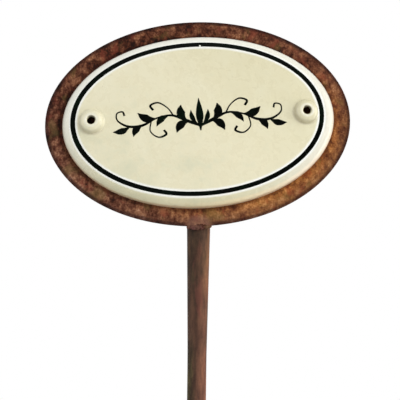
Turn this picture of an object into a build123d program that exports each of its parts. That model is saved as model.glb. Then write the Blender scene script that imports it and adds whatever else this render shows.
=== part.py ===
"""Plant label stake: an enamelled oval sign on a rusty steel plate, welded to a tapered round spike.

Millimetres and degrees. Z points up along the spike, X to the right, and the sign faces -Y.
The origin is on the spike's axis, level with the soil.
"""

from build123d import *
from math import cos, hypot, radians, sin
import os

# Spike: a round bar, drawn down below the plate to a slimmer shank with a blunt point
stake_d = 9.4
waist_d = 7.45
waist_drop = 50.0
shank_d = 6.8
point_length = 45.0
tip_d = 1.8
tip_round = 0.7
soil_depth = 100.0
stake_show = 115.0
lap_length = 58.0
flat_depth = 0.4
stake_top_chamfer = 0.7

# Sign: a pressed shell with a domed face and a rolled rim
sign_w = 110.0
sign_h = 71.1
sign_rise = 5.4
sign_wall = 1.5
sign_turn = 4.95
sign_drop = 0.45
dome_r = 1600.0
rim_r = 3.6

# Screw bosses on the sign, with open holes in a line a little above its centre
hole_from_end = 12.0
hole_lift = 0.85
hole_line_turn = 4.3
hole_d = 3.2
hole_round = 0.65
boss_d = 9.8
boss_crest_d = 5.0
boss_rise = 2.4
boss_sink = 0.3
boss_foot_r = 0.5

# Back plate: an oval cut from steel sheet, welded on slightly turned, with a border round the sign
side_border = 7.15
top_border = 7.4
plate_t = 2.0
plate_edge_round = 0.35
plate_turn = 4.1
plate_shift = 0.5

# Dabs of adhesive between the sign and the back plate
dab_d = 17.0
dab_spread_share = 0.3
dab_bulge = 1.4

# Weld beads, thinner at their ends, with ripples along them
side_bead_r = 2.3
side_bead_inset = 4.0
side_bead_ripples = 16
cross_bead_r = 1.3
cross_bead_length = 10.0
cross_bead_ripples = 6
lower_bead_sink = 0.2
bead_end_share = 0.35
side_end_power = 8
cross_end_power = 2.5
ripple_rise = 0.18

# One overrun serves every cut
overrun = 1.0

stake_r = stake_d / 2
seat = stake_r - flat_depth
sign_seat = seat + plate_t
plate_w = sign_w + 2 * side_border
plate_h = sign_h + 2 * top_border
turn = radians(plate_turn)
plate_reach = hypot(plate_w / 2 * sin(turn), plate_h / 2 * cos(turn))
plate_z = stake_show + plate_reach
stake_top = stake_show + lap_length


def facing_plane(depth, height, degrees):
    """Plane that faces the viewer, at a height on the plate's middle line, turned anticlockwise."""
    angle = radians(degrees)
    x_dir = (cos(angle), 0, sin(angle))
    return Plane(origin=(-plate_shift, -depth, height), x_dir=x_dir, z_dir=(0, -1, 0))


plate_plane = facing_plane(seat, plate_z, plate_turn)
sign_plane = facing_plane(sign_seat, plate_z - sign_drop, sign_turn)
hole_plane = facing_plane(sign_seat, plate_z - sign_drop, hole_line_turn)
hole_reach = sign_w / 2 - hole_from_end
hole_spots = [(-hole_reach, hole_lift), (hole_reach, hole_lift)]
dab_reach = 2 * hole_reach * dab_spread_share
boss_base = sign_rise - dome_r + (dome_r**2 - hole_reach**2 - hole_lift**2) ** 0.5
boss_depth = boss_base / 2


def section_plane(x):
    """Plane that cuts the sign at a distance from its centre: X outwards, Y off the back plate."""
    origin = sign_plane.from_local_coords((x, 0, 0))
    return Plane(origin=origin, x_dir=sign_plane.x_dir, z_dir=-sign_plane.y_dir)


def boss_section(x, y):
    """Plane that cuts a boss down its axis, from the dome's surface: X outwards, Y up the axis."""
    foot = hole_plane.from_local_coords((x, y, boss_base))
    axis = (foot - hole_plane.from_local_coords((0, 0, sign_rise - dome_r))).normalized()
    x_dir = hole_plane.y_dir.cross(axis).normalized()
    return Plane(origin=foot, x_dir=x_dir, z_dir=x_dir.cross(axis))


def across(section):
    """Plane square to a section's Y axis."""
    return Plane(origin=section.origin, x_dir=section.x_dir, z_dir=section.y_dir)


boss_sections = [boss_section(x, y) for x, y in hole_spots]


# Spike, with a narrow flat where the plate lies on it
with BuildPart() as stake:
    with BuildSketch(Plane.XZ):
        with BuildLine():
            Polyline(
                (0, -soil_depth),
                (tip_d / 2, -soil_depth),
                (shank_d / 2, point_length - soil_depth),
                (waist_d / 2, stake_show - waist_drop),
                (stake_r, stake_show),
                (stake_r, stake_top),
                (0, stake_top),
                close=True,
            )
        make_face()
    revolve(axis=Axis.Z)
    chamfer(stake.edges().filter_by(GeomType.CIRCLE).group_by(Axis.Z)[-1], stake_top_chamfer)
    fillet(stake.edges().filter_by(GeomType.CIRCLE).group_by(Axis.Z)[0], tip_round)
    with BuildSketch(Plane.XZ.offset(seat)):
        with Locations((0, stake_show)):
            Rectangle(stake_d, lap_length + overrun, align=(Align.CENTER, Align.MIN))
    extrude(amount=flat_depth + overrun, mode=Mode.SUBTRACT)

# Back plate, with no holes in it
with BuildPart() as back_plate:
    with BuildSketch(plate_plane):
        Ellipse(plate_w / 2, plate_h / 2)
    extrude(amount=plate_t)
    fillet(back_plate.edges().group_by(Axis.Y)[0], plate_edge_round)
    fillet(back_plate.edges().group_by(Axis.Y)[-1], plate_edge_round)


def domed_oval(inset):
    """Solid under the sign's domed face and rolled rim, with its surface moved in by inset."""
    with BuildPart(mode=Mode.PRIVATE) as body:
        with BuildSketch(sign_plane):
            Ellipse(sign_w / 2 - inset, sign_h / 2 - inset)
        extrude(amount=sign_rise)
        with Locations(sign_plane.offset(sign_rise - dome_r)):
            Sphere(dome_r - inset, rotation=(0, 0, 90), mode=Mode.INTERSECT)
        fillet(body.faces().sort_by(Axis.Y)[0].edges(), rim_r - inset)
    return body.part


def boss_pair(inset):
    """Solid under both screw bosses, which stand square on the dome, moved in by inset."""
    foot = (boss_d / 2 - inset, -boss_sink - inset)
    crest = (boss_crest_d / 2, boss_rise - inset)
    with BuildPart(mode=Mode.PRIVATE) as pair:
        for section in boss_sections:
            with BuildSketch(section):
                with BuildLine():
                    Polyline(foot, (foot[0], -boss_depth), (0, -boss_depth), (0, crest[1]), crest)
                    TangentArc(crest, foot, tangent=(1, 0))
                make_face()
            revolve(axis=Axis(section.origin, section.y_dir))
    return pair.part


def at_foot(edge):
    """Whether an edge runs round the foot of a screw boss."""
    centre = edge.center(CenterOf.MASS)
    return min((centre - section.origin).length for section in boss_sections) < boss_rise / 2


# Sign: the shell between the outer form and the same form moved in by the wall
with BuildPart() as sign_plate:
    add(domed_oval(0))
    add(boss_pair(0))
    fillet(sign_plate.edges().filter_by(at_foot), boss_foot_r)
    add(domed_oval(sign_wall), mode=Mode.SUBTRACT)
    add(boss_pair(sign_wall), mode=Mode.SUBTRACT)
    with Locations(*[across(section) for section in boss_sections]):
        Hole(hole_d / 2)
    circles = sign_plate.edges().filter_by(GeomType.CIRCLE)
    hole_edges = circles.filter_by(lambda edge: edge.is_closed).group_by(SortBy.RADIUS)[0]
    fillet(hole_edges.sort_by(Axis.Y)[: len(hole_spots)], hole_round)


def adhesive_dab(x):
    """Dab of adhesive squeezed between the back plate and the inside of the sign's face."""
    section = section_plane(x)
    with BuildPart(mode=Mode.PRIVATE) as dab:
        with BuildSketch(section):
            with BuildLine():
                Polyline((dab_d / 2, 0), (0, 0), (0, sign_rise), (dab_d / 2, sign_rise))
                SagittaArc((dab_d / 2, sign_rise), (dab_d / 2, 0), dab_bulge)
            make_face()
        revolve(axis=Axis(section.origin, section.y_dir))
        add(domed_oval(sign_wall), mode=Mode.INTERSECT)
    return dab.part


def weld_bead(axis_plane, radius, length, ripples, end_power):
    """Weld bead along the plane's X axis, cut to lie on the stake and the back plate."""
    ends = []
    for i in range(ripples + 1):
        along = 2 * i / ripples - 1
        swell = bead_end_share + (1 - bead_end_share) * (1 - abs(along) ** end_power)
        ends.append((along * length / 2, radius * swell))
    with BuildPart(mode=Mode.PRIVATE) as bead:
        with BuildSketch(axis_plane):
            with BuildLine():
                Polyline(ends[0], (ends[0][0], 0), (ends[-1][0], 0), ends[-1])
                for start, end in zip(ends, ends[1:]):
                    SagittaArc(start, end, ripple_rise)
            make_face()
        revolve(axis=Axis(axis_plane.origin, axis_plane.x_dir))
        add(back_plate.part, mode=Mode.SUBTRACT)
        add(stake.part, mode=Mode.SUBTRACT)
    return bead.part


# Welds on the back: one down each side of the stake, and one across its top end
side_bead_z = (stake_show + stake_top) / 2
side_bead_length = lap_length - 2 * side_bead_inset
behind_plate = Plane.XZ.offset(seat)
with BuildPart() as weld_left:
    left_line = Plane(origin=(-stake_r, -seat, side_bead_z), x_dir=(0, 0, 1), z_dir=(0, -1, 0))
    add(weld_bead(left_line, side_bead_r, side_bead_length, side_bead_ripples, side_end_power))
    split(bisect_by=behind_plate, keep=Keep.BOTTOM)
with BuildPart() as weld_right:
    right_line = Plane(origin=(stake_r, -seat, side_bead_z), x_dir=(0, 0, 1), z_dir=(0, -1, 0))
    add(weld_bead(right_line, side_bead_r, side_bead_length, side_bead_ripples, side_end_power))
    split(bisect_by=behind_plate, keep=Keep.BOTTOM)
with BuildPart() as weld_top:
    top_line = Plane(origin=(0, -seat, stake_top), x_dir=(1, 0, 0), z_dir=(0, -1, 0))
    add(weld_bead(top_line, cross_bead_r, cross_bead_length, cross_bead_ripples, cross_end_power))
    split(bisect_by=behind_plate, keep=Keep.BOTTOM)

# Weld that shows: over the plate's lower edge, in the corner with the stake
with BuildPart() as weld_lower:
    lower_depth = seat + plate_t / 2 - lower_bead_sink
    lower_line = Plane(
        origin=(0, -lower_depth, stake_show), x_dir=plate_plane.x_dir, z_dir=(0, -1, 0)
    )
    add(weld_bead(lower_line, cross_bead_r, cross_bead_length, cross_bead_ripples, cross_end_power))

# Adhesive under the sign, at the middle and to either side
with BuildPart() as adhesive_left:
    add(adhesive_dab(-dab_reach))
with BuildPart() as adhesive_middle:
    add(adhesive_dab(0))
with BuildPart() as adhesive_right:
    add(adhesive_dab(dab_reach))

stake.part.label = "stake"
back_plate.part.label = "back_plate"
sign_plate.part.label = "sign_plate"
weld_left.part.label = "weld_left"
weld_right.part.label = "weld_right"
weld_top.part.label = "weld_top"
weld_lower.part.label = "weld_lower"
adhesive_left.part.label = "adhesive_left"
adhesive_middle.part.label = "adhesive_middle"
adhesive_right.part.label = "adhesive_right"

os.makedirs("parts", exist_ok=True)
export_step(stake.part, "parts/stake.step")
export_step(back_plate.part, "parts/back_plate.step")
export_step(sign_plate.part, "parts/sign_plate.step")
export_step(weld_left.part, "parts/weld_left.step")
export_step(weld_right.part, "parts/weld_right.step")
export_step(weld_top.part, "parts/weld_top.step")
export_step(weld_lower.part, "parts/weld_lower.step")
export_step(adhesive_left.part, "parts/adhesive_left.step")
export_step(adhesive_middle.part, "parts/adhesive_middle.step")
export_step(adhesive_right.part, "parts/adhesive_right.step")
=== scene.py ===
"""Looks of the plant label stake: an enamelled oval sign on a rusty steel plate and spike.

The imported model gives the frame: metres, Z up along the spike, X to the right, and the sign
faces -Y. Sizes are in millimetres and angles in degrees, save where a line says otherwise.
"""

import logging
import math
from dataclasses import dataclass, field
from enum import Enum
from typing import Any, Iterable, Sequence

import bmesh
import bpy
from mathutils import Matrix, Vector


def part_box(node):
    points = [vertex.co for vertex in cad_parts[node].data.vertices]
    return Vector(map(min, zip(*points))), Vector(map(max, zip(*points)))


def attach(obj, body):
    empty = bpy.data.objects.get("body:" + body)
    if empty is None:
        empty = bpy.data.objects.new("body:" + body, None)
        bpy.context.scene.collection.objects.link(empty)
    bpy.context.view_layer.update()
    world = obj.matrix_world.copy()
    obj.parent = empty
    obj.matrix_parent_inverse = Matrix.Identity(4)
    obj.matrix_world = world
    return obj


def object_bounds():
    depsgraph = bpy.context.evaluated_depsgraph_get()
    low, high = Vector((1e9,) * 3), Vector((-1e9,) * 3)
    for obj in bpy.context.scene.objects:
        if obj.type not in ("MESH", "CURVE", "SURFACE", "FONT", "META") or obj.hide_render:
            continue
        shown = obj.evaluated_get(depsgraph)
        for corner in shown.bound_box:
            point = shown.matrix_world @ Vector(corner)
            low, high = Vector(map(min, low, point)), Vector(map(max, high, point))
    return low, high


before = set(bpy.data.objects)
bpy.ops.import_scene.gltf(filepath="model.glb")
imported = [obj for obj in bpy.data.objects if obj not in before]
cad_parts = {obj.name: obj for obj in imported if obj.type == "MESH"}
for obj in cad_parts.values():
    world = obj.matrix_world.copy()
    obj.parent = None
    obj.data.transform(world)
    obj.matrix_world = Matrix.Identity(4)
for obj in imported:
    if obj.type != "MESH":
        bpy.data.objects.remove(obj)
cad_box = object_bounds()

Colour = tuple[float, float, float, float]
Point = tuple[float, float, float]
Span = tuple[float, float]
Stroke = list[tuple[float, float, float]]

MM = 0.001
MM_PER_METRE = 1000.0
IMAGE_PX = 400.0
SENSOR_MM = 36.0

SCREEN_TOP = 255.0
SCREEN_KNEE = 0.04045
SCREEN_SLOPE = 12.92
SCREEN_OFFSET = 0.055
SCREEN_POWER = 2.4
WHITE: Colour = (1.0, 1.0, 1.0, 1.0)

NOISE_MEAN = 0.5
IGNORED_AXIS = 1e6
RIGHT: Point = (1.0, 0.0, 0.0)
FRONT: Point = (0.0, -1.0, 0.0)
UP: Point = (0.0, 0.0, 1.0)

# Places along a leaf from its foot to its tip, each with the share of the full width there.
LEAF_PRESS: tuple[Span, ...] = ((0.0, 0.12), (0.2, 0.5), (0.45, 1.0), (0.7, 0.8), (0.9, 0.3), (1.0, 0.06))

log = logging.getLogger("plant_label_stake")


def tone(red: float, green: float, blue: float) -> Colour:
    """Turns a colour read off a screen into the shader's linear one.

    Args:
        red: Red, 0 to 255.
        green: Green, 0 to 255.
        blue: Blue, 0 to 255.

    Returns:
        Linear red, green and blue, and an alpha of 1.
    """

    def linear(level: float) -> float:
        """Linear value of one channel."""
        share = level / SCREEN_TOP
        bent = ((share + SCREEN_OFFSET) / (1 + SCREEN_OFFSET)) ** SCREEN_POWER
        return share / SCREEN_SLOPE if share <= SCREEN_KNEE else bent

    return (linear(red), linear(green), linear(blue), 1.0)


def bearing(azimuth: float, elevation: float) -> Vector:
    """Direction at an azimuth, from -Y towards +X, and an elevation above the horizon."""
    a, e = math.radians(azimuth), math.radians(elevation)
    return Vector((math.sin(a) * math.cos(e), -math.cos(a) * math.cos(e), math.sin(e)))


def axes_matrix(x_axis: Vector, y_axis: Vector, z_axis: Vector, origin: Vector) -> Matrix:
    """Makes a matrix from its columns.

    Args:
        x_axis: Where it takes a step along X.
        y_axis: Where it takes a step along Y.
        z_axis: Where it takes a step along Z.
        origin: Where it takes the origin.

    Returns:
        The matrix.
    """
    matrix = Matrix.Identity(4)
    for column, part in enumerate((x_axis, y_axis, z_axis, origin)):
        matrix.col[column][:3] = part
    return matrix


class Slot(Enum):
    """Names of material slots."""

    ENAMEL = "enamel"


@dataclass(frozen=True)
class Oval:
    """An oval outline that stands upright and faces -Y.

    Attributes:
        centre: Its centre, in metres.
        half_width: Half of its width.
        half_height: Half of its height.
        turn: Its turn anticlockwise as seen from the front.
    """

    centre: Point
    half_width: float
    half_height: float
    turn: float


@dataclass(frozen=True)
class Noise:
    """One layer of noise.

    Attributes:
        size: Size of its largest patches.
        detail: Number of finer layers.
        roughness: Strength of the finer layers.
        warp: Distortion of the pattern.
    """

    size: float
    detail: float = 2.0
    roughness: float = 0.5
    warp: float = 0.0


class Wire:
    """A shader socket that can be used in Python expressions."""

    def __init__(self, bench: "Bench", socket: bpy.types.NodeSocket) -> None:
        """Keeps the bench that the socket's node stands on."""
        self.bench = bench
        self.socket = socket

    def __add__(self, other: "Wire | float") -> "Wire":
        """Sum."""
        return self.bench.maths("ADD", self, other)

    def __radd__(self, other: float) -> "Wire":
        """Sum with a number on the left."""
        return self.bench.maths("ADD", other, self)

    def __sub__(self, other: "Wire | float") -> "Wire":
        """Difference."""
        return self.bench.maths("SUBTRACT", self, other)

    def __rsub__(self, other: float) -> "Wire":
        """Difference from a number."""
        return self.bench.maths("SUBTRACT", other, self)

    def __mul__(self, other: "Wire | float") -> "Wire":
        """Product."""
        return self.bench.maths("MULTIPLY", self, other)

    def __rmul__(self, other: float) -> "Wire":
        """Product with a number on the left."""
        return self.bench.maths("MULTIPLY", other, self)

    def __truediv__(self, other: "Wire | float") -> "Wire":
        """Quotient."""
        return self.bench.maths("DIVIDE", self, other)

    def __rtruediv__(self, other: float) -> "Wire":
        """Quotient with a number on the left."""
        return self.bench.maths("DIVIDE", other, self)

    def sway(self, strength: float) -> "Wire":
        """Noise as a swing about 0, times a strength."""
        return (self - NOISE_MEAN) * strength


class Bench:
    """Builds the nodes of one material or of the world."""

    def __init__(self, tree: bpy.types.NodeTree) -> None:
        """Empties the tree that the nodes go into."""
        self.tree = tree
        self.tree.nodes.clear()

    def add(
        self,
        kind: str,
        settings: dict[str, Any] | None = None,
        inputs: dict[str | int, Any] | None = None,
        output: str | int = 0,
    ) -> Wire:
        """Adds a node.

        Args:
            kind: The node's type.
            settings: The node's own settings, or a ramp's stops as pairs of place and colour.
            inputs: Values or wires, by the socket's name or number.
            output: The socket that is returned.

        Returns:
            The chosen output.
        """
        node = self.tree.nodes.new(kind)
        for name, value in (settings or {}).items():
            if name == "stops":
                self._set_stops(node.color_ramp, value)
            else:
                setattr(node, name, value)
        for key, value in (inputs or {}).items():
            self.feed(node.inputs[key], value)
        return Wire(self, node.outputs[output]) if len(node.outputs) else None

    def feed(self, socket: bpy.types.NodeSocket, value: "Wire | float | Sequence[float]") -> None:
        """Links a wire to a socket, or sets the socket's own value.

        Args:
            socket: The socket that is fed.
            value: The wire or the value.
        """
        if isinstance(value, Wire):
            self.tree.links.new(value.socket, socket)
        else:
            socket.default_value = value

    @staticmethod
    def _set_stops(ramp: bpy.types.ColorRamp, stops: Iterable[tuple[float, Colour]]) -> None:
        """Replaces a ramp's stops.

        Args:
            ramp: The ramp.
            stops: Places from 0 to 1, in rising order, each with its colour.
        """
        while len(ramp.elements) > 1:
            ramp.elements.remove(ramp.elements[-1])
        for number, (place, colour) in enumerate(stops):
            stop = ramp.elements[0] if number == 0 else ramp.elements.new(place)
            stop.position = place
            stop.color = colour

    def maths(self, operation: str, *terms: "Wire | float") -> Wire:
        """Adds a Math node for the terms."""
        return self.add("ShaderNodeMath", {"operation": operation}, dict(enumerate(terms)))

    def vector_maths(self, operation: str, *terms: Any, output: str | int = 0) -> Wire:
        """Adds a Vector Math node for the terms."""
        return self.add("ShaderNodeVectorMath", {"operation": operation}, dict(enumerate(terms)), output)

    def dot(self, vector: Wire, direction: Point) -> Wire:
        """How far a vector reaches in a direction."""
        return self.vector_maths("DOT_PRODUCT", vector, direction, output="Value")

    def length(self, vector: Wire) -> Wire:
        """A vector's length."""
        return self.vector_maths("LENGTH", vector, output="Value")

    def blend(
        self,
        share: "Wire | float",
        first: "Wire | Colour",
        second: "Wire | Colour",
        how: str = "MIX",
    ) -> Wire:
        """Mixes two colours.

        Args:
            share: How much of the second colour shows, 0 to 1.
            first: The colour at 0.
            second: The colour at 1.
            how: The Mix node's blend type.

        Returns:
            The mixed colour.
        """
        settings = {"data_type": "RGBA", "blend_type": how, "clamp_factor": True}
        return self.add("ShaderNodeMix", settings, {0: share, 6: first, 7: second}, output=2)

    def tint(self, share: "Wire | float", colour: Wire, tint: "Wire | Colour") -> Wire:
        """Multiplies a colour by a tint where the share is 1, and leaves it where it is 0."""
        return self.blend(share, colour, tint, "MULTIPLY")

    def step(self, value: Wire, low: float, high: float) -> Wire:
        """Turns a value into a smooth step.

        Args:
            value: The value.
            low: Where the step is 0.
            high: Where it is 1, which may be the smaller of the two.

        Returns:
            The step, from 0 to 1.
        """
        inputs = {"Value": value, "From Min": min(low, high), "From Max": max(low, high)}
        rising = self.add("ShaderNodeMapRange", {"interpolation_type": "SMOOTHSTEP"}, inputs)
        return rising if low <= high else 1 - rising

    def bump(self, height: Wire, strength: float, depth: float) -> Wire:
        """Turns a height into a normal, with a depth in millimetres for a height of 1."""
        inputs = {"Height": height, "Strength": strength, "Distance": depth * MM}
        return self.add("ShaderNodeBump", None, inputs)

    def place(self) -> Wire:
        """Object coordinates, which are the frame's own in metres."""
        return self.add("ShaderNodeTexCoord", output="Object")

    def noise(self, where: Wire, layer: Noise, unit: float = 1.0) -> Wire:
        """Adds one layer of noise.

        Args:
            where: The coordinates.
            layer: The noise.
            unit: What its size is counted in, in millimetres.

        Returns:
            A value about 0.5.
        """
        inputs = {
            "Vector": where,
            "Scale": 1 / (layer.size * unit * MM),
            "Detail": layer.detail,
            "Roughness": layer.roughness,
            "Distortion": layer.warp,
        }
        return self.add("ShaderNodeTexNoise", None, inputs)

    def off_spot(self, where: Wire, spot: Point, steeper: float = 1.0) -> Wire:
        """Offset from a spot, as seen from the front.

        Args:
            where: The frame's coordinates.
            spot: The spot, in metres.
            steeper: What the height of the offset is multiplied by.

        Returns:
            The offset in millimetres, without its depth.
        """
        offset = self.vector_maths("SUBTRACT", where, spot)
        return self.vector_maths("MULTIPLY", offset, (MM_PER_METRE, 0, MM_PER_METRE * steeper))

    def off_edge(self, where: Wire, oval: Oval) -> Wire:
        """Distance outwards from the edge of an upright oval, in millimetres, negative inside it.

        Args:
            where: The frame's coordinates.
            oval: The oval.

        Returns:
            The distance, which is close to the true one near the edge.
        """
        inputs = {
            "Vector": where,
            "Location": oval.centre,
            "Rotation": (0, -math.radians(oval.turn), 0),
            "Scale": (oval.half_width * MM, IGNORED_AXIS, oval.half_height * MM),
        }
        flat = self.add("ShaderNodeMapping", {"vector_type": "TEXTURE"}, inputs)
        reach = self.length(flat)
        steeper = self.vector_maths("MULTIPLY", flat, (1 / oval.half_width, 0, 1 / oval.half_height))
        return reach * (reach - 1) / self.length(steeper)

    def seen_directly(self) -> Wire:
        """Tells the rays that see the background from those that light the object.

        Returns:
            1 for a ray from the camera, or one that a reflection or glass passes on, or else 0.
        """
        total = None
        for kind in ("Is Camera Ray", "Is Glossy Ray", "Is Transmission Ray"):
            ray = self.add("ShaderNodeLightPath", output=kind)
            total = ray if total is None else self.maths("MAXIMUM", total, ray)
        return total


class Finish:
    """A finish that becomes one material."""

    name = "finish"

    def material(self) -> bpy.types.Material:
        """Makes the material, with its shader and its output.

        Returns:
            The material.
        """
        material = bpy.data.materials.new(self.name)
        material.use_nodes = True
        bench = Bench(material.node_tree)
        surface = self.shade(bench)
        bench.add("ShaderNodeOutputMaterial", None, {"Surface": surface})
        return material

    def shade(self, bench: Bench) -> Wire:
        """Builds the shader and returns its output."""
        raise NotImplementedError


@dataclass(frozen=True)
class RustReadings:
    """What the rust reads at a point: its place as shares of a reach, and the noise there.

    Attributes:
        where: The frame's coordinates.
        offset: The same, from the finish's centre.
        along: Place towards the lighter end, over lighter_reach.
        across: Place to the right, over lighter_reach.
        rise: Place upwards, over rise_reach.
        drawn: Coordinates in which the patches are drawn out along Z.
        broad: Noise of the broadest patches.
        blotch: Noise of the larger patches.
        mottle: Noise of the smaller patches.
        grain: The finest noise.
        patches: All of this noise together, about 0.
    """

    where: Wire
    offset: Wire
    along: Wire
    across: Wire
    rise: Wire
    drawn: Wire
    broad: Wire
    blotch: Wire
    mottle: Wire
    grain: Wire
    patches: Wire


@dataclass(frozen=True)
class RustFinish(Finish):
    """Bare steel that has rusted brown all over, with darker and warmer patches.

    A span gives two readings in millimetres: where an effect starts, and where it is full.

    Attributes:
        name: The material's name.
        centre: The point that the broad gradients are measured from, in metres.
        lighter_towards: Direction in which the rust turns lighter.
        lighter_reach: Distance over which it does.
        lighter_share: How strongly it does.
        lighter_curve: How much more so towards the lighter end.
        mean_level: Place on the ramp from dark to orange at the centre.
        cool: Tint of the rust at the left end, over lighter_reach.
        warm: Tint of the rust at the right end.
        tint_fade: How much of these two tints is gone at the top.
        rise_reach: Half of the height over which the next two tints change.
        upper: Tint of the rust at the top.
        lower: Tint of the rust at the bottom.
        damp: Share of algae at the lower left, where the steel stays damp.
        flank_light: Share of painted light on the right flank near the top.
        shift: Where the pattern is taken from, in metres.
        streaks: How much longer the patches are along Z.
        patch: Size of the larger patches, in which the next five noises are counted.
        broad: The broadest patches.
        blotch: The larger patches.
        mottle: The smaller patches.
        olive_noise: The greenish patches.
        red_noise: The reddish patches.
        red_shift: Offset of the reddish patches from the others, in metres.
        coloured: Share of colour in the greenish and reddish patches.
        grain: The finest grain, in millimetres.
        contrast: Strength of all the patches.
        contrast_loss: How much of it is lost towards the lighter end.
        fine: Strength of the finest grain.
        gloss: Specular level.
        matt: Mean roughness.
        seam: The oval edge along which shade and light are painted, or None.
        seam_light_span: Distances off the seam between which painted light starts.
        seam_shade_span: Distances off the seam between which painted shade starts.
        rim: The steel's own cut edge, which is darker, or None.
        scale_span: Distances off the rim between which dark scale starts.
        weld: The middle of the weld on that edge, in metres.
        heat_span: Distances from the weld between which its heat shows.
        heat_squash: How much wider than high the heated spot is.
        heated: Share of ashen steel in it.
        stops: Places of the next five colours on the ramp.
        dark: Colour of the darkest scale.
        umber: Colour of dark rust.
        brown: Colour of most of the rust.
        tan: Colour of light rust.
        orange: Colour of the newest, brightest rust.
        olive: Colour of greenish patches.
        red: Colour of reddish patches.
        ashen: Colour of the steel that the weld has heated.
        algae_dark: Darkest colour of the damp steel.
        algae_light: Lightest colour of the damp steel.
        flank_light_tint: Tint of that painted light.
        seam_light_tint: Tint of painted light beside the seam, which lifts the sign's cast shadow.
        seam_shade_tint: Tint of the painted shade along the seam.
        scale_tint: Tint of the scale along the rim.
    """

    name: str = "plate_rust"
    centre: Point = (0.0, 0.0, 0.0)
    lighter_towards: Point = (0.62, 0.0, -0.79)
    lighter_reach: float = 60.0
    lighter_share: float = 0.21
    lighter_curve: float = 0.18
    mean_level: float = 0.47
    cool: Colour = (1.09, 1.18, 1.34, 1.0)
    warm: Colour = (1.02, 0.99, 0.7, 1.0)
    tint_fade: float = 1.0
    rise_reach: float = 35.0
    upper: Colour = (0.94, 0.88, 0.92, 1.0)
    lower: Colour = WHITE
    damp: float = 0.0
    flank_light: float = 0.0
    shift: Point = (0.21, 0.0, -0.08)
    streaks: float = 1.25
    patch: float = 4.0
    broad: Noise = Noise(5.0, warp=0.4)
    blotch: Noise = Noise(1.0, warp=0.3)
    mottle: Noise = Noise(0.45, roughness=0.55)
    olive_noise: Noise = Noise(1.6, warp=0.3)
    red_noise: Noise = Noise(1.2, 3, 0.6, 0.4)
    red_shift: Point = (0.31, 0.17, 0.53)
    coloured: float = 0.5
    grain: Noise = Noise(0.7, roughness=0.55)
    contrast: float = 1.4
    contrast_loss: float = 0.24
    fine: float = 0.65
    gloss: float = 0.12
    matt: float = 0.8
    seam: Oval | None = None
    seam_light_span: Span = (4.8, 1.4)
    seam_shade_span: Span = (2.2, 0.9)
    rim: Oval | None = None
    scale_span: Span = (-1.9, -0.7)
    weld: Point = (0.0, 0.0, 0.1155)
    heat_span: Span = (6.2, 3.2)
    heat_squash: float = 1.3
    heated: float = 0.5
    stops: tuple[float, ...] = (0.0, 0.28, 0.5, 0.74, 1.0)
    dark: Colour = tone(34, 14, 8)
    umber: Colour = tone(73, 37, 22)
    brown: Colour = tone(103, 62, 44)
    tan: Colour = tone(137, 91, 63)
    orange: Colour = tone(175, 127, 97)
    olive: Colour = tone(104, 82, 46)
    red: Colour = tone(134, 66, 48)
    ashen: Colour = tone(122, 88, 76)
    algae_dark: Colour = tone(44, 39, 25)
    algae_light: Colour = tone(92, 82, 54)
    flank_light_tint: Colour = (2.0, 2.0, 1.8, 1.0)
    seam_light_tint: Colour = (1.4, 1.3, 0.98, 1.0)
    seam_shade_tint: Colour = (0.42, 0.34, 0.28, 1.0)
    scale_tint: Colour = (0.31, 0.28, 0.34, 1.0)

    def shade(self, bench: Bench) -> Wire:
        """Builds the rust.

        Args:
            bench: Where the nodes go.

        Returns:
            The shader.
        """
        read = self._read(bench)
        colour = self._weather_and_flank_light(bench, read, self._mix_rust(bench, read))
        if self.seam is not None:
            colour = self._shade_and_light_seam(bench, read, colour)
        if self.rim is not None:
            colour = self._darken_rim(bench, read, colour)
        height = read.grain * 0.5 + read.mottle * 1.2 + read.blotch * 1.4
        inputs = {
            "Base Color": colour,
            "Roughness": read.blotch.sway(0.4) + self.matt,
            "Normal": bench.bump(height, strength=0.6, depth=0.3),
            "Specular IOR Level": self.gloss,
        }
        return bench.add("ShaderNodeBsdfPrincipled", None, inputs)

    def _read(self, bench: Bench) -> RustReadings:
        """Adds the gradients and the noise that the rest of the shader works from.

        Args:
            bench: Where the nodes go.

        Returns:
            What a point reads.
        """
        where = bench.place()
        drawing = {"Vector": where, "Location": self.shift, "Scale": (1, 1, 1 / self.streaks)}
        drawn = bench.add("ShaderNodeMapping", {"vector_type": "POINT"}, drawing)
        broad = bench.noise(drawn, self.broad, self.patch)
        blotch = bench.noise(drawn, self.blotch, self.patch)
        mottle = bench.noise(drawn, self.mottle, self.patch)
        grain = bench.noise(where, self.grain)
        offset = bench.vector_maths("SUBTRACT", where, self.centre)
        return RustReadings(
            where=where,
            offset=offset,
            along=bench.dot(offset, self.lighter_towards) / (self.lighter_reach * MM),
            across=bench.dot(offset, RIGHT) / (self.lighter_reach * MM),
            rise=bench.dot(offset, UP) / (self.rise_reach * MM),
            drawn=drawn,
            broad=broad,
            blotch=blotch,
            mottle=mottle,
            grain=grain,
            patches=broad.sway(0.5) + blotch.sway(0.8) + mottle.sway(1.1) + grain.sway(self.fine),
        )

    def _mix_rust(self, bench: Bench, read: RustReadings) -> Wire:
        """Mixes the colours of the rust by its patches.

        Args:
            bench: Where the nodes go.
            read: What a point reads.

        Returns:
            The colour.
        """
        strength = self.contrast * (0.9 - read.along * self.contrast_loss)
        # on the spike this slope runs across the bar: painted light on its lit right side
        slope = read.along * self.lighter_share
        bend = read.along * read.along * self.lighter_curve
        level = read.patches * strength + slope + bend + self.mean_level
        colours = (self.dark, self.umber, self.brown, self.tan, self.orange)
        colour = bench.add("ShaderNodeValToRGB", {"stops": zip(self.stops, colours)}, {0: level})
        olive = bench.step(bench.noise(read.drawn, self.olive_noise, self.patch), 0.54, 0.68)
        colour = bench.blend(olive * self.coloured, colour, self.olive)
        moved = bench.vector_maths("ADD", read.drawn, self.red_shift)
        red = bench.step(bench.noise(moved, self.red_noise, self.patch), 0.53, 0.68)
        return bench.blend(red * self.coloured, colour, self.red)

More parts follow.
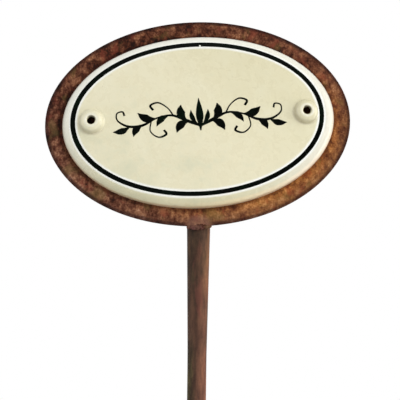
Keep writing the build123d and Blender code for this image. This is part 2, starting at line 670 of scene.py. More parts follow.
    def _weather_and_flank_light(self, bench: Bench, read: RustReadings, colour: Wire) -> Wire:
        """Tints the rust across and upwards, adds its damp side, and paints light on its right flank near the
        top.

        Args:
            bench: Where the nodes go.
            read: What a point reads.
            colour: The rust's colour so far.

        Returns:
            The colour.
        """
        high = bench.step(read.rise, -1, 1)
        # on the spike this tint is painted light, lighter and warmer on its lit right side; on the plate it
        # is the rust's own colour
        side = (read.across + read.broad.sway(0.8)) * (1 - high * self.tint_fade)
        colour = bench.tint(1.0, colour, bench.blend(bench.step(side, -0.8, 0.8), self.cool, self.warm))
        colour = bench.tint(1.0, colour, bench.blend(high, self.lower, self.upper))
        low = bench.step(read.rise + read.blotch.sway(0.6), -0.3, -0.8)
        low_left = low * bench.step(read.across, 0.05, -0.7)
        damp = low_left * (read.mottle.sway(2.0) + read.broad.sway(1.2) + 1) * self.damp
        algae = bench.blend(bench.step(read.patches, -0.2, 0.25), self.algae_dark, self.algae_light)
        colour = bench.blend(damp, colour, algae)
        # painted light on the spike's lit right flank near the top
        lit_flank = bench.step(read.across, 0.2, 0.65) * bench.step(read.rise, -0.4, 0.7)
        return bench.tint(lit_flank * self.flank_light, colour, self.flank_light_tint)

    def _shade_and_light_seam(self, bench: Bench, read: RustReadings, colour: Wire) -> Wire:
        """Paints shade along the seam on the front, and paints light beside it at the lighter end.

        Args:
            bench: Where the nodes go.
            read: What a point reads.
            colour: The rust's colour so far.

        Returns:
            The colour.
        """
        off_seam = bench.off_edge(read.where, self.seam)
        front = bench.step(bench.dot(read.offset, FRONT) * MM_PER_METRE, -0.5, 0.5)
        # painted light beside the seam at the lighter end, lifting the sign's cast shadow
        seam_light = bench.step(off_seam, *self.seam_light_span) * bench.step(read.along, 0.0, 0.8)
        colour = bench.tint(seam_light * front, colour, self.seam_light_tint)
        # painted shade along the seam, where the sign meets the plate
        off_seam_shade = off_seam + read.mottle.sway(1.4) + read.along * 0.5
        crease_shade = bench.step(off_seam_shade, *self.seam_shade_span) * (0.9 - read.along * 0.3)
        return bench.tint(crease_shade * front, colour, self.seam_shade_tint)

    def _darken_rim(self, bench: Bench, read: RustReadings, colour: Wire) -> Wire:
        """Darkens the cut edge with scale, and pales it where the weld has heated it.

        Args:
            bench: Where the nodes go.
            read: What a point reads.
            colour: The rust's colour so far.

        Returns:
            The colour.
        """
        scale = bench.step(bench.off_edge(read.where, self.rim) + read.mottle.sway(1.6), *self.scale_span)
        off_weld = bench.length(bench.off_spot(read.where, self.weld, self.heat_squash))
        heated = bench.step(off_weld + read.mottle.sway(2.0), *self.heat_span)
        colour = bench.tint(scale * (1 - heated), colour, self.scale_tint)
        return bench.blend(heated * self.heated, colour, self.ashen)


@dataclass(frozen=True)
class EnamelReadings:
    """What the enamel reads at a point: its place as shares of half the sign, and the noise there.

    Attributes:
        where: The frame's coordinates.
        along: Place towards the upper right.
        across: Place to the right.
        rise: Place upwards.
        cloud: Noise of the large clouds.
        mottle: Noise of the small patches.
    """

    where: Wire
    along: Wire
    across: Wire
    rise: Wire
    cloud: Wire
    mottle: Wire


@dataclass(frozen=True)
class EnamelFinish(Finish):
    """Cream vitreous enamel, a little uneven in colour and surface, with a clear gloss.

    A span gives two readings in millimetres: where an effect starts, and where it is full.

    Attributes:
        edge: The sign's outline.
        line: The middle of the painted line.
        line_width: Width of the painted line.
        bosses: Centres of the screw bosses, in metres.
        boss_reach: Distance from a boss's centre to its foot.
        foot_span: Distances to either side of the foot between which painted shade starts.
        foot_towards: Side of a boss on which most of that shade lies.
        lip_reach: Distance from a boss's centre to the lip round its hole.
        lip_highlight_span: Distances to either side of the lip between which the painted highlight starts.
        wall_span: Distances from a boss's centre between which the hole's wall is shaded.
        wall_towards: Side of the hole whose wall is shaded.
        halo_span: Distances off the painted line between which the ground pales.
        outside_span: Distances off the line's middle between which the outer ground starts.
        lit_span: Distances off the sign's edge between which the lit rim starts.
        stain_span: Distances off the sign's edge between which the rust stain starts.
        name: The material's name.
        shade_towards: Direction of the painted shade, to the upper right.
        cloud: The large clouds.
        mottle: The small patches.
        peel: The unevenness of the surface.
        pore_scale: Number of places for pores in a metre.
        cream: The main colour.
        pale: Colour of the paler clouds.
        greenish: Colour of the greener clouds.
        ground: Pale colour along the line and outside it, also laid as painted light on the upper left rim
            and on the lips of the bosses.
        upper_right_shade_tint: Tint of painted shade on the whole enamel at the upper right.
        inner_shade_tint: Tint of painted shade at the upper right inside the line.
        bottom_rim_shade: Tint outside the line at the bottom, painted shade on the downward-facing rim.
        right_rim_light_tint: Tint outside the line at the right, a bluer white for the painted highlight on
            the lit rim.
        lit_tint: Tint of the rim at the lower right.
        rust_tint: Colour of the stained edge.
        pore: Colour of the pores.
        crease_shade: Colour of the painted shade round the feet of the bosses.
        shaded: Colour of the upper wall inside the holes.
    """

    edge: Oval
    line: Oval
    line_width: float
    bosses: tuple[Point, ...]
    boss_reach: float = 4.8
    foot_span: Span = (1.3, 0.1)
    foot_towards: Point = (-0.5, 0.0, -0.85)
    lip_reach: float = 2.4
    lip_highlight_span: Span = (0.8, 0.1)
    wall_span: Span = (2.15, 1.75)
    wall_towards: Point = (0.35, 0.0, 0.94)
    halo_span: Span = (1.3, 0.4)
    outside_span: Span = (0.0, 0.8)
    lit_span: Span = (-2.0, -0.9)
    stain_span: Span = (-0.55, 0.05)
    name: str = "sign_enamel"
    shade_towards: Point = (0.9, 0.0, 1.0)
    cloud: Noise = Noise(16, 3, 0.55, 0.5)
    mottle: Noise = Noise(3.4, 4, 0.6, 0.3)
    peel: Noise = Noise(1.7)
    pore_scale: float = 260.0
    cream: Colour = tone(229, 222, 189)
    pale: Colour = tone(233, 228, 199)
    greenish: Colour = tone(216, 214, 184)
    ground: Colour = tone(247, 249, 245)
    upper_right_shade_tint: Colour = (0.94, 0.935, 0.9, 1.0)
    inner_shade_tint: Colour = (0.955, 0.955, 0.935, 1.0)
    bottom_rim_shade: Colour = (0.85, 0.84, 0.765, 1.0)
    right_rim_light_tint: Colour = (0.96, 0.98, 1.16, 1.0)
    lit_tint: Colour = (1.2, 1.1, 1.04, 1.0)
    rust_tint: Colour = tone(186, 150, 116)
    pore: Colour = tone(120, 92, 62)
    crease_shade: Colour = tone(150, 138, 112)
    shaded: Colour = tone(84, 80, 72)

    def shade(self, bench: Bench) -> Wire:
        """Builds the enamel.

        Args:
            bench: Where the nodes go.

        Returns:
            The shader.
        """
        read = self._read(bench)
        colour = self._tint_ground(bench, read, self._mix_clouds(bench, read))
        for boss in self.bosses:
            colour = self._paint_boss(bench, read, boss, colour)
        off_edge = bench.off_edge(read.where, self.edge)
        lit = bench.step(off_edge, *self.lit_span) * bench.step(read.across - read.rise, 0.5, 1.3)
        colour = bench.tint(lit, colour, self.lit_tint)
        stain = bench.step(off_edge + read.mottle.sway(1.0), *self.stain_span)
        colour = bench.blend(stain * 0.6, colour, self.rust_tint)
        cells = {"Vector": read.where, "Scale": self.pore_scale}
        middles = bench.add("ShaderNodeTexVoronoi", None, cells, output="Distance")
        pores = bench.step(middles, 0.07, 0.03) * bench.step(read.cloud, 0.5, 0.6)
        colour = bench.blend(pores * 0.6, colour, self.pore)
        height = bench.noise(read.where, self.peel) * 0.6 + read.mottle * 1.3 - pores * 0.7
        inputs = {
            "Base Color": colour,
            "Roughness": read.mottle.sway(0.15) + stain * 0.25 + 0.28,
            "Normal": bench.bump(height, strength=0.22, depth=0.2),
            "Coat Weight": 0.3,
            "Coat Roughness": 0.1,
            "Specular IOR Level": 0.45,
        }
        return bench.add("ShaderNodeBsdfPrincipled", None, inputs)

    def _read(self, bench: Bench) -> EnamelReadings:
        """Adds the gradients and the noise that the rest of the shader works from.

        Args:
            bench: Where the nodes go.

        Returns:
            What a point reads.
        """
        where = bench.place()
        offset = bench.vector_maths("SUBTRACT", where, self.edge.centre)
        return EnamelReadings(
            where=where,
            along=bench.dot(offset, self.shade_towards) / (self.edge.half_width * MM),
            across=bench.dot(offset, RIGHT) / (self.edge.half_width * MM),
            rise=bench.dot(offset, UP) / (self.edge.half_height * MM),
            cloud=bench.noise(where, self.cloud),
            mottle=bench.noise(where, self.mottle),
        )

    def _mix_clouds(self, bench: Bench, read: EnamelReadings) -> Wire:
        """Mixes the paler and greener clouds, and darkens them towards the upper right with painted shade.

        Args:
            bench: Where the nodes go.
            read: What a point reads.

        Returns:
            The colour.
        """
        paler = bench.step(read.cloud.sway(1.5) + read.mottle.sway(1.0), -0.4, 0.7)
        greener = bench.step(read.cloud.sway(-1.5) - read.along * 0.3 + read.mottle.sway(0.9), 0.1, 0.7)
        colour = bench.blend(paler, self.cream, self.pale)
        colour = bench.blend(greener, colour, self.greenish)
        # painted shade towards the upper right
        return bench.tint(bench.step(read.along, -0.2, 1.1), colour, self.upper_right_shade_tint)

    def _tint_ground(self, bench: Bench, read: EnamelReadings, colour: Wire) -> Wire:
        """Tints the enamel inside and outside the painted line, with painted shade and painted light, and
        pales it beside the line.

        Args:
            bench: Where the nodes go.
            read: What a point reads.
            colour: The enamel's colour so far.

        Returns:
            The colour.
        """
        off_line = bench.off_edge(read.where, self.line)
        ragged = read.mottle.sway(0.6)
        start, full = (self.line_width / 2 + reach for reach in self.halo_span)
        halo = bench.step(bench.maths("ABSOLUTE", off_line) + ragged, start, full)
        outside = bench.step(off_line + ragged, *self.outside_span)
        # painted shade on the rim's downward-facing bottom
        bottom = bench.step(read.rise + read.across * 0.3, -0.05, -0.9)
        colour = bench.tint(outside * bottom, colour, self.bottom_rim_shade)
        # painted shade at the upper right inside the line
        colour = bench.tint((1 - outside) * bench.step(read.along, 0.0, 0.8), colour, self.inner_shade_tint)
        # painted highlight: the lit right rim is whiter and bluer
        colour = bench.tint(outside * bench.step(read.across, 0.2, 0.95), colour, self.right_rim_light_tint)
        # painted light: the rim outside the line is whiter towards the upper left
        upper_left = bench.step(read.rise * 0.8 - read.across * 0.5, -0.5, 0.9)
        rim_light = outside * (upper_left * 0.65 + 0.03)
        return bench.blend(bench.maths("MAXIMUM", halo * 0.8, rim_light), colour, self.ground)

    def _paint_boss(self, bench: Bench, read: EnamelReadings, boss: Point, colour: Wire) -> Wire:
        """Paints a highlight on the lip of a boss, and paints shade round its foot and in its hole.

        Args:
            bench: Where the nodes go.
            read: What a point reads.
            boss: The boss's centre, in metres.
            colour: The enamel's colour so far.

        Returns:
            The colour.
        """
        offset = bench.off_spot(read.where, boss)
        reach = bench.length(offset)
        # painted highlight on the rounded lip round the hole
        lip = bench.step(bench.maths("ABSOLUTE", reach - self.lip_reach), *self.lip_highlight_span)
        colour = bench.blend(lip * 0.32, colour, self.ground)
        # painted shade round the boss's foot, most at its lower left
        off_foot = bench.maths("ABSOLUTE", reach - self.boss_reach + read.mottle.sway(0.5))
        shade_side_share = bench.step(bench.dot(offset, self.foot_towards) / reach, -0.5, 0.9)
        foot = bench.step(off_foot, *self.foot_span) * (shade_side_share * 0.34 + 0.05)
        colour = bench.blend(foot, colour, self.crease_shade)
        shaded_side = bench.step(bench.dot(offset, self.wall_towards) / reach, 0.1, 0.8)
        wall = bench.step(reach, *self.wall_span) * shaded_side
        return bench.blend(wall * 0.85, colour, self.shaded)


@dataclass(frozen=True)
class BrushedGlazeFinish(Finish):
    """Green-black glaze laid on the enamel with a brush and fired.

    Attributes:
        pale_spot: Centre of a pale spot on the glaze, in metres.
        pale_spot_reach: Half of that spot's width.
        pale_spot_core: Share of that width over which it is fully pale.
        name: The material's name.
        cloud: The larger patches of thin glaze.
        grain: The finest grain.
        black: Where the glaze is thick.
        green: Where it is thin.
        pale_spot_colour: Colour of that spot.
    """

    pale_spot: Point
    pale_spot_reach: float = 0.42
    pale_spot_core: float = 0.6
    name: str = "dark_glaze"
    cloud: Noise = Noise(9, 3, 0.6)
    grain: Noise = Noise(0.5)
    black: Colour = tone(3, 5, 3)
    green: Colour = tone(6, 18, 9)
    pale_spot_colour: Colour = tone(232, 232, 222)

    def shade(self, bench: Bench) -> Wire:
        """Builds the glaze.

        Args:
            bench: Where the nodes go.

        Returns:
            The shader.
        """
        where = bench.place()
        grain = bench.noise(where, self.grain)
        thin = bench.step(bench.noise(where, self.cloud) + grain.sway(0.4), 0.42, 0.7)
        # a pale spot on the glaze of the line
        off_pale_spot = bench.length(bench.off_spot(where, self.pale_spot)) + grain.sway(0.3)
        in_pale_spot = bench.step(off_pale_spot, self.pale_spot_reach, self.pale_spot_reach * self.pale_spot_core)
        inputs = {
            "Base Color": bench.blend(in_pale_spot, bench.blend(thin, self.black, self.green), self.pale_spot_colour),
            "Roughness": grain * 0.2 + 0.3,
            "Normal": bench.bump(grain, strength=0.15, depth=0.1),
            "Specular IOR Level": 0.02,
        }
        return bench.add("ShaderNodeBsdfPrincipled", None, inputs)


@dataclass(frozen=True)
class AdhesiveFinish(Finish):
    """Grey setting adhesive with fine pores.

    Attributes:
        name: The material's name.
        skin: The patches of its dusty skin.
        pores: The pores.
        grey: The main colour.
        pale: The colour of the dusty skin.
    """

    name: str = "grey_adhesive"
    skin: Noise = Noise(4, 4, 0.6)
    pores: Noise = Noise(0.6)
    grey: Colour = tone(118, 116, 110)
    pale: Colour = tone(150, 148, 140)

    def shade(self, bench: Bench) -> Wire:
        """Builds the adhesive.

        Args:
            bench: Where the nodes go.

        Returns:
            The shader.
        """
        where = bench.place()
        skin = bench.noise(where, self.skin)
        inputs = {
            "Base Color": bench.blend(bench.step(skin, 0.35, 0.7), self.grey, self.pale),
            "Roughness": skin * 0.2 + 0.55,
            "Normal": bench.bump(bench.noise(where, self.pores) + skin, strength=0.4, depth=0.2),
        }
        return bench.add("ShaderNodeBsdfPrincipled", None, inputs)


@dataclass(frozen=True)
class FloorFinish(Finish):
    """Matt pale floor that fades to white far from the object.

    Attributes:
        name: The material's name.
        grey: The floor's colour.
        fade: Distances from the middle between which it fades, in metres.
    """

    name: str = "pale_floor"
    grey: Colour = (0.86, 0.86, 0.86, 1.0)
    fade: Span = (0.2, 0.6)

    def shade(self, bench: Bench) -> Wire:
        """Builds the floor.

        Args:
            bench: Where the nodes go.

        Returns:
            The shader.
        """
        matt = bench.add("ShaderNodeBsdfDiffuse", None, {"Color": self.grey})
        white = bench.add("ShaderNodeEmission", None, {"Color": WHITE, "Strength": 1.0})
        share = bench.step(bench.length(bench.place()), *self.fade) * bench.seen_directly()
        return bench.add("ShaderNodeMixShader", None, {0: share, 1: matt, 2: white})


def stand(name: str, data: bpy.types.ID) -> bpy.types.Object:
    """Puts an object into the scene.

    Args:
        name: The object's name.
        data: Its mesh, lamp or camera.

    Returns:
        The object.
    """
    thing = bpy.data.objects.new(name, data)
    bpy.context.scene.collection.objects.link(thing)
    return thing


def cast(name: str, solid: bmesh.types.BMesh, material: bpy.types.Material) -> bpy.types.Object:
    """Turns a bmesh, which is freed here, into an object with a material.

    Args:
        name: The object's name.
        solid: The shape, in the frame's metres.
        material: Its material.

    Returns:
        The object.
    """
    mesh = bpy.data.meshes.new(name)
    solid.to_mesh(mesh)
    solid.free()
    mesh.materials.append(material)
    return stand(name, mesh)


def ride_as_piece(
    name: str,
    solid: bmesh.types.BMesh,
    material: bpy.types.Material,
    slot: Slot,
) -> bpy.types.Object:
    """Turns a bmesh into a smooth piece that rides on the root body.

    Args:
        name: The piece's name.
        solid: The shape, in the frame's metres. It is freed here.
        material: The piece's material.
        slot: A material slot; not used.

    Returns:
        The piece's object.
    """
    bmesh.ops.recalc_face_normals(solid, faces=solid.faces[:])
    piece = cast(name, solid, material)
    piece.data.shade_smooth()
    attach(piece, "root")
    return piece


def dress(node: str, material: bpy.types.Material) -> None:
    """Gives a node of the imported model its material.

    Args:
        node: The node's name.
        material: The material.
    """
    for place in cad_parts[node].material_slots:
        place.material = material
    log.info("dressed %s with %s", node, material.name)


@dataclass
class Brush:
    """Lays raised strokes of glaze on a surface.

    Attributes:
        proud: Height of the glaze above the surface.
        sunk: Depth to which a stroke reaches into the surface.
        sides: Number of sides of a stroke's lens-shaped section.
        samples: Number of steps between two points of a stroke.
        narrowest: Least half width of a stroke.
        thinnest: Share of its full height that a stroke of no width would have.
        thickening: Half width that would add the whole height to that.
        merge: Distance within which the ends of a ring are joined.
    """

    proud: float = 0.11
    sunk: float = 0.11
    sides: int = 10
    samples: int = 8
    narrowest: float = 0.03
    thinnest: float = 0.45
    thickening: float = 0.5
    merge: float = 0.02

    def smooth_line(self, points: Stroke, closed: bool) -> list[Vector]:
        """Runs a smooth line through the points, by Catmull and Rom's formula.

        Args:
            points: X, Y and half width at each point.
            closed: Whether the line returns to its first point.

        Returns:
            Stations along the line, each X, Y and half width.
        """
        knots = [Vector(point) for point in points]
        if closed:
            knots = [knots[-1], *knots, knots[0], knots[1]]
        else:
            knots = [2 * knots[0] - knots[1], *knots, 2 * knots[-1] - knots[-2]]
        stations = []
        for a, b, c, d in zip(knots, knots[1:], knots[2:], knots[3:]):
            for number in range(self.samples):
                t = number / self.samples
                square, cube = 2 * a - 5 * b + 4 * c - d, 3 * b - a - 3 * c + d
                stations.append(0.5 * (2 * b + (c - a) * t + square * t**2 + cube * t**3))
        stations.append(knots[-2].copy())
        return stations

    def seats(self, points: Stroke, closed: bool) -> list[Matrix]:
        """Finds where the sections of a stroke stand.

        Args:
            points: X, Y and half width at each point.
            closed: Whether the stroke is a ring.

        Returns:
            A matrix for each section, which turns and scales a unit circle.
        """
        stations = self.smooth_line(points, closed)
        before = [stations[-2] if closed else stations[0], *stations[:-1]]
        after = [*stations[1:], stations[1] if closed else stations[-1]]
        seats = []
        for station, last, following in zip(stations, before, after):
            along = (following - last).to_2d().normalized()
            width = max(station.z, self.narrowest)
            thick = (self.proud + self.sunk) / 2 * min(1.0, self.thinnest + width / self.thickening)
            across = Vector((along.y, -along.x, 0)) * width
            middle = Vector((station.x, station.y, (self.proud - self.sunk) / 2))
            seats.append(axes_matrix(across, Vector((0, 0, thick)), along.to_3d(), middle))
        return seats

    def stroke(self, solid: bmesh.types.BMesh, points: Stroke, closed: bool = False) -> None:
        """Adds one stroke, on a flat surface at height 0.

        Args:
            solid: Where the stroke goes.
            points: X, Y and half width at each point.
            closed: Whether the stroke is a ring.
        """
        seats = self.seats(points, closed)
        made = bmesh.ops.create_circle(solid, cap_ends=True, radius=1, segments=self.sides, matrix=seats[0])
        start = made["verts"][0].link_faces[0]
        cap = start
        for old, new in zip(seats, seats[1:]):
            grown = bmesh.ops.extrude_face_region(solid, geom=[cap], use_keep_orig=cap is start)["geom"]
            cap = next(item for item in grown if isinstance(item, bmesh.types.BMFace))
            bmesh.ops.transform(solid, matrix=new @ old.inverted(), verts=cap.verts[:])
        if closed:
            ends = [cap, start]
            verts = [vert for face in ends for vert in face.verts]
            bmesh.ops.delete(solid, geom=ends, context="FACES_ONLY")
            bmesh.ops.remove_doubles(solid, verts=verts, dist=self.merge)


@dataclass
class Sign:
    """The enamelled sign: its finish, the line round its edge and the sprig in the middle.

    Attributes:
        half_width: Half of the sign's width.
        half_height: Half of its height.
        turn: Its turn anticlockwise against the spike.
        rise: Height of the middle of its face over the back plate.
        dome_r: Radius of the face's dome.
        line_half_width: Half of the width of the oval that the line's middle follows.
        line_half_height: Half of that oval's height.
        line_width: Width of the line at its top and bottom.
        line_swell: How much wider the line is at its left end.
        line_ease: How much of that is missing at its right end.
        line_shift: Where the line's middle lies from the sign's, to the right and up.
        line_points: Number of points that the line runs through.
        hole_reach: Distance from the sign's centre to a screw hole.
        hole_lift: Height of the holes over the sign's centre.
        hole_turn: Turn of the line through the holes against the spike.
        pale_spot_angle: Where round the line the pale spot lies, anticlockwise from the right.
        pale_spot_inset: How far inside the line's middle that is.
        sprig_lift: Height of the sprig's base line over the sign's centre.
        sprig_gain: How much wider the sprig's strokes are laid than they are drawn below.
        bud_gain: The same for its bud.
        brush: The brush that draws the sprig.
        line_brush: The brush that draws the line.
    """

    half_width: float = 55.0
    half_height: float = 35.55
    turn: float = 4.95
    rise: float = 5.4
    dome_r: float = 1600.0
    line_half_width: float = 49.93
    line_half_height: float = 30.87
    line_width: float = 1.8
    line_swell: float = 0.17
    line_ease: float = 0.12
    line_shift: tuple[float, float] = (-0.54, 0.33)
    line_points: int = 72
    hole_reach: float = 43.0
    hole_lift: float = 0.85
    hole_turn: float = 4.3
    pale_spot_angle: float = 86.7
    pale_spot_inset: float = 0.62
    sprig_lift: float = 0.2
    sprig_gain: float = 1.12
    bud_gain: float = 1.05
    brush: Brush = field(default_factory=Brush)
    line_brush: Brush = field(default_factory=lambda: Brush(sides=12, samples=4))

    def __post_init__(self) -> None:
        """Finds the sign's centre on the back plate's front."""
        low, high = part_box("sign_plate")
        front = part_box("back_plate")[0].y
        self.centre = Vector(((low.x + high.x) / 2, front, (low.z + high.z) / 2))

    def outline(self) -> Oval:
        """The sign's outline."""
        return Oval(tuple(self.centre), self.half_width, self.half_height, self.turn)

    def line(self) -> Oval:
        """The middle of the painted line."""
        spot = self.seat() @ Vector((*self.line_shift, 0))
        return Oval(tuple(spot), self.line_half_width, self.line_half_height, self.turn)

    def bosses(self) -> tuple[Point, ...]:
        """Finds the two screw bosses.

        Returns:
            Their centres, in metres.
        """
        turned = Matrix.Rotation(math.radians(self.hole_turn - self.turn), 4, "Z")
        spots = [turned @ Vector((side * self.hole_reach, self.hole_lift, 0)) for side in (-1, 1)]
        return tuple(tuple(self.seat() @ spot) for spot in spots)

    def pale_spot(self) -> Point:
        """Centre of the pale spot on the line, in metres."""
        spot = (*self.on_line(math.radians(self.pale_spot_angle), self.pale_spot_inset), self.rise)
        return tuple(self.seat() @ Vector(spot))

    def seat(self) -> Matrix:
        """Finds how the sign sits in the frame.

        Returns:
            The matrix from the sign's own millimetres, with Z off its face, to the frame's metres.
        """
        angle = math.radians(self.turn)
        right = Vector((math.cos(angle), 0, math.sin(angle)))
        up = Vector((-math.sin(angle), 0, math.cos(angle)))
        return axes_matrix(right * MM, up * MM, Vector(FRONT) * MM, self.centre)

    def lay_on_face(self, solid: bmesh.types.BMesh) -> None:
        """Bends flat strokes onto the domed face and moves them to the sign.

        Args:
            solid: Strokes on a flat surface at height 0.
        """
        for vert in solid.verts:
            reach = vert.co.to_2d().length_squared
            vert.co.z += self.rise - self.dome_r + math.sqrt(self.dome_r**2 - reach)
        bmesh.ops.transform(solid, matrix=self.seat(), verts=solid.verts[:])

    def on_line(self, angle: float, inset: float = 0.0) -> tuple[float, float]:
        """A point of the line's middle, or further in, from the sign's centre.

        Args:
            angle: Where round the line, anticlockwise from the right, in radians.
            inset: Distance inside the line's middle.

        Returns:
            X and Y on the sign.
        """
        right, up = self.line_shift
        x = right + (self.line_half_width - inset) * math.cos(angle)
        y = up + (self.line_half_height - inset) * math.sin(angle)
        return x, y

    def border_points(self) -> Stroke:
        """Finds the points of the painted line.

        Returns:
            X, Y and half width at each.
        """
        points = []
        for number in range(self.line_points):
            angle = 2 * math.pi * number / self.line_points
            end = math.cos(angle)
            width = self.line_width + self.line_swell * end**2 - self.line_ease * max(0.0, end) ** 2
            points.append((*self.on_line(angle), width / 2))
        return points

    def sprig_strokes(self) -> list[Stroke]:
        """Draws the right half of the sprig, without the bud on its middle.

        Returns:
            Its strokes, each with X, Y and half width at its points.
        """
        stem = [(0, -3.2, 0.5), (5, -1.0, 0.62), (11, 1.6, 0.42), (17, 0.9, 0.3), (23, -1.8, 0.5)]
        stem += [(28.5, -1.9, 0.45), (32.6, 0.6, 0.3), (32.9, 3.6, 0.26), (30.6, 4.3, 0.3), (29.9, 2.6, 0.4)]
        curl_up = [(10.5, 1.5, 0.3), (12.6, 4.8, 0.24), (16.2, 7.2, 0.3), (19.4, 6.2, 0.4), (18.4, 4.2, 0.45)]
        curl_down = [(19.5, -0.3, 0.26), (20.0, -4.4, 0.24), (17.0, -7.0, 0.3)]
        curl_down += [(13.8, -6.0, 0.42), (14.6, -4.2, 0.4)]
        leaves = [
            self.leaf((4.5, -1.2), (9.6, -5.6), 1.5, 1.2),
            self.leaf((5.4, -0.6), (7.2, 5.8), 1.6, -1.2),
            self.leaf((12.2, 1.7), (17.4, -2.6), 1.2, 1.0),
            self.leaf((17.6, 0.7), (24.6, 3.4), 1.5, -1.1),
            self.leaf((22.8, -1.7), (26.8, -6.2), 1.3, 1.0),
            self.leaf((28.0, -2.0), (34.8, -3.8), 1.2, -0.8),
            self.leaf((1.2, -2.2), (3.4, 3.4), 0.9, -0.8),
        ]
        return [stem, curl_up, curl_down, *leaves]

    @staticmethod
    def leaf(foot: tuple[float, float], tip: tuple[float, float], width: float, bow: float) -> Stroke:
        """A leaf drawn with one press of the brush.

        Args:
            foot: Where it leaves the stem.
            tip: Its pointed end.
            width: Half of its width at the widest.
            bow: How far its middle lies to the left of the straight line.

        Returns:
            X, Y and half width of its points.
        """
        start, end = Vector(foot), Vector(tip)
        aside = Vector((-(end - start).y, (end - start).x)).normalized() * bow
        points = []
        for place, share in LEAF_PRESS:
            spot = start.lerp(end, place) + aside * math.sin(math.pi * place)
            points.append((spot.x, spot.y, width * share))
        return points

    def build_line(self, glaze: bpy.types.Material) -> bpy.types.Object:
        """Makes the dark line round the sign's face.

        Args:
            glaze: Its material.

        Returns:
            The piece.
        """
        solid = bmesh.new()
        self.line_brush.stroke(solid, self.border_points(), closed=True)
        self.lay_on_face(solid)
        return ride_as_piece("border_line", solid, glaze, Slot.ENAMEL)

    def build_sprig(self, glaze: bpy.types.Material) -> bpy.types.Object:
        """Makes the leafy sprig, the same on both sides of its bud.

        Args:
            glaze: Its material.

        Returns:
            The piece.
        """
        solid = bmesh.new()
        for points in self.sprig_strokes():
            for side in (1, -1):
                half = [(side * x, y + self.sprig_lift, width * self.sprig_gain) for x, y, width in points]
                self.brush.stroke(solid, half)
        bud = [(0, -5.2, 0.25), (0, -3.0, 0.7), (0, 0.6, 1.5), (0, 4.0, 1.15), (0, 6.6, 0.5), (0, 8.2, 0.12)]
        self.brush.stroke(solid, [(x, y + self.sprig_lift, width * self.bud_gain) for x, y, width in bud])
        self.lay_on_face(solid)
        return ride_as_piece("leaf_sprig", solid, glaze, Slot.ENAMEL)

    def build(self) -> list[bpy.types.Object]:
        """Dresses the sign and makes its line and sprig.

        Returns:
            The new pieces.
        """
        enamel = EnamelFinish(self.outline(), self.line(), self.line_width, self.bosses())
        dress("sign_plate", enamel.material())
        glaze = BrushedGlazeFinish(self.pale_spot()).material()
        return [self.build_line(glaze), self.build_sprig(glaze)]


@dataclass
class SteelWork:
    """The rusty back plate, the spike and the weld beads between them.

    Attributes:
        sign: The sign on the plate.
        half_width: Half of the plate's width.
        half_height: Half of its height.
        turn: Its turn anticlockwise against the spike.
    """

    sign: Sign
    half_width: float = 62.15
    half_height: float = 42.95
    turn: float = 4.1

    def outline(self) -> Oval:
        """The back plate's outline."""
        low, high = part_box("back_plate")
        return Oval(tuple((low + high) / 2), self.half_width, self.half_height, self.turn)

    def front(self) -> Vector:
        """The centre of the plate's front face, in metres."""
        low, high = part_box("back_plate")
        return Vector(((low.x + high.x) / 2, low.y, (low.z + high.z) / 2))

    def plate_rust(self) -> RustFinish:
        """The plate's rust, with painted shade along the sign's edge and painted light beside it, and dark
        along its own rim.
        """
        rim = self.outline()
        return RustFinish("plate_rust", centre=rim.centre, seam=self.sign.outline(), rim=rim)

    def spike_rust(self) -> RustFinish:
        """Chooses the spike's darker rust, drawn out along it, damp on the left, with painted light on its
        lit right side, most on its right flank near the top.

        Returns:
            The finish.
        """
        return RustFinish(
            "stake_rust",
            centre=(0, 0, 0.085),
            # painted light: the bar is lighter towards its lit right side
            lighter_towards=(0.9, 0, -0.06),
            lighter_reach=4.7,
            lighter_share=0.12,
            lighter_curve=0.0,
            mean_level=0.55,
            cool=(1.05, 1.11, 1.1, 1.0),
            # painted light: warmer and lighter on the bar's lit right side
            warm=(1.4, 1.24, 1.12, 1.0),
            tint_fade=0.0,
            rise_reach=32.0,
            upper=(0.9, 1.02, 1.12, 1.0),
            lower=(1.12, 1.12, 1.4, 1.0),
            damp=0.85,
            # painted light on the right flank near the top
            flank_light=0.42,
            shift=(0.0, 0.0, 0.0),
            streaks=4.0,
            patch=4.5,
            contrast=0.95,
            contrast_loss=0.0,
            fine=0.3,
            matt=0.6,
            dark=tone(36, 25, 18),
            umber=tone(54, 38, 28),
            brown=tone(74, 51, 37),
            tan=tone(96, 66, 47),
            orange=tone(124, 86, 58),
            olive=tone(64, 60, 36),
            red=tone(104, 60, 48),
        )

    def weld_rust(self) -> RustFinish:
        """Chooses the rust of the weld beads, which is even and a little violet.

        Returns:
            The finish.
        """
        return RustFinish(
            "weld_rust",
            centre=(0, 0, 0.115),
            lighter_share=0.0,
            lighter_curve=0.0,
            mean_level=0.55,
            cool=(1.0, 0.98, 1.1, 1.0),
            warm=(1.0, 0.98, 1.1, 1.0),
            upper=WHITE,
            patch=3.0,
            contrast_loss=0.0,
            brown=tone(86, 58, 46),
            tan=tone(108, 74, 58),
            orange=tone(134, 95, 76),
            red=tone(118, 76, 68),
        )

    def build(self) -> None:
        """Dresses the nodes."""
        dress("back_plate", self.plate_rust().material())
        dress("stake", self.spike_rust().material())
        weld = self.weld_rust().material()
        for node in ("weld_left", "weld_right", "weld_top", "weld_lower"):
            dress(node, weld)


@dataclass
class Bonding:
    """The dabs of adhesive between the sign and the back plate."""

    def build(self) -> None:
        """Dresses the nodes."""
        adhesive = AdhesiveFinish().material()
        for node in ("adhesive_left", "adhesive_middle", "adhesive_right"):
            dress(node, adhesive)


